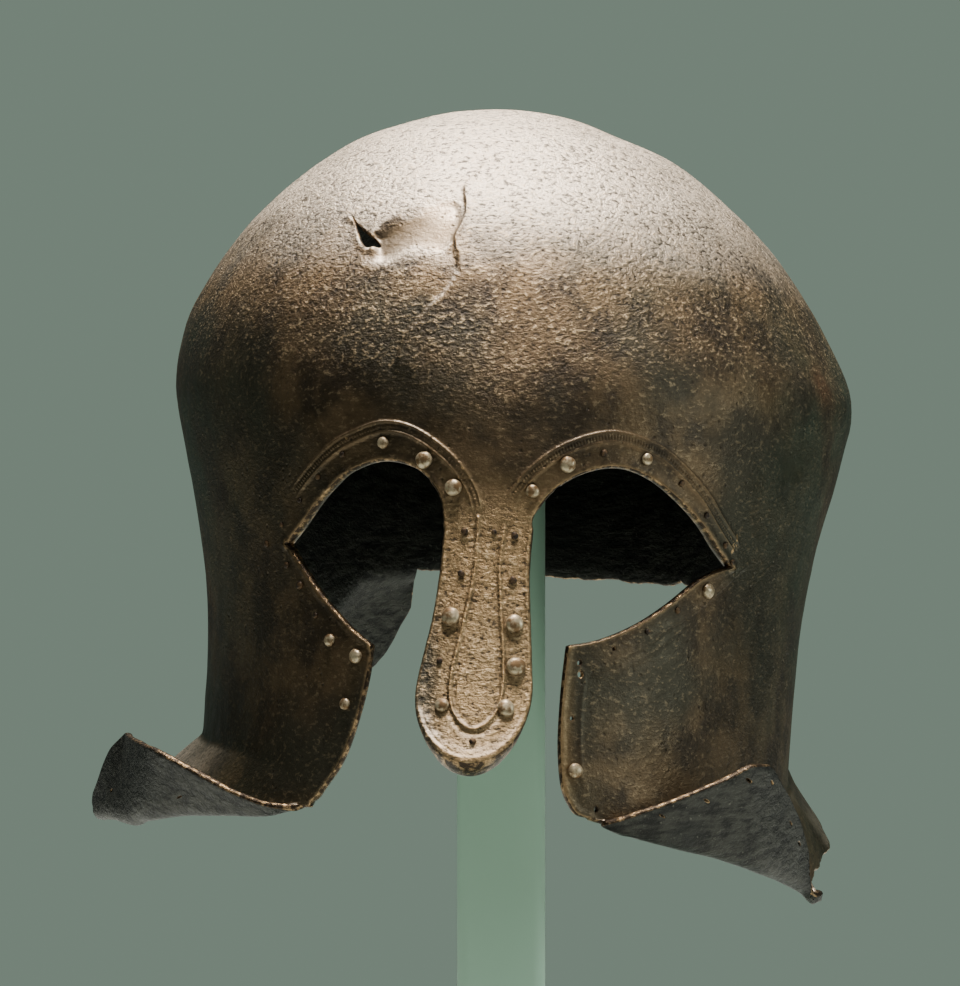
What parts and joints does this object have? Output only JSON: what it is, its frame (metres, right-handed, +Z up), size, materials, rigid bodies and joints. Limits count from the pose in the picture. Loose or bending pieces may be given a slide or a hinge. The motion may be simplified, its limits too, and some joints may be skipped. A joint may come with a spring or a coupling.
{
  "type": "corinthian helmet on display post",
  "caption": "Hammered bronze closed helmet with almond eye openings, long nose guard, studded raised borders and outward-bent cheek corners, held up on a plain square post",
  "frame": {"origin": "middle of the base plate's underside, under the post's axis", "axes": "+Z up along the post, the helmet faces -Y, +X to the viewer's right"},
  "size_m": [0.216, 0.2658, 0.359],
  "materials": {
    "bronze": "hammered bronze with brown patina, pitted and worn bright on the crown",
    "stud_bronze": "pale worn bronze",
    "rest_felt": "dark felt",
    "stand_paint": "satin pale green paint"
  },
  "bodies": {
    "root": {"helmet_shell": "bronze", "brow_stud_left_1": "stud_bronze", "brow_stud_left_2": "stud_bronze", "brow_stud_left_3": "stud_bronze", "brow_stud_right_1": "stud_bronze", "brow_stud_right_2": "stud_bronze", "brow_stud_right_3": "stud_bronze", "nasal_stud_left_1": "stud_bronze", "nasal_stud_left_2": "stud_bronze", "nasal_stud_right_1": "stud_bronze", "nasal_stud_right_2": "stud_bronze", "nasal_stud_right_3": "stud_bronze", "cheek_stud_left_1": "stud_bronze", "cheek_stud_left_2": "stud_bronze", "cheek_stud_left_3": "stud_bronze", "cheek_stud_right_1": "stud_bronze", "cheek_stud_right_2": "stud_bronze", "crown_rest": "rest_felt", "stand_post": "stand_paint", "stand_base": "stand_paint"}
  },
  "joints": []
}
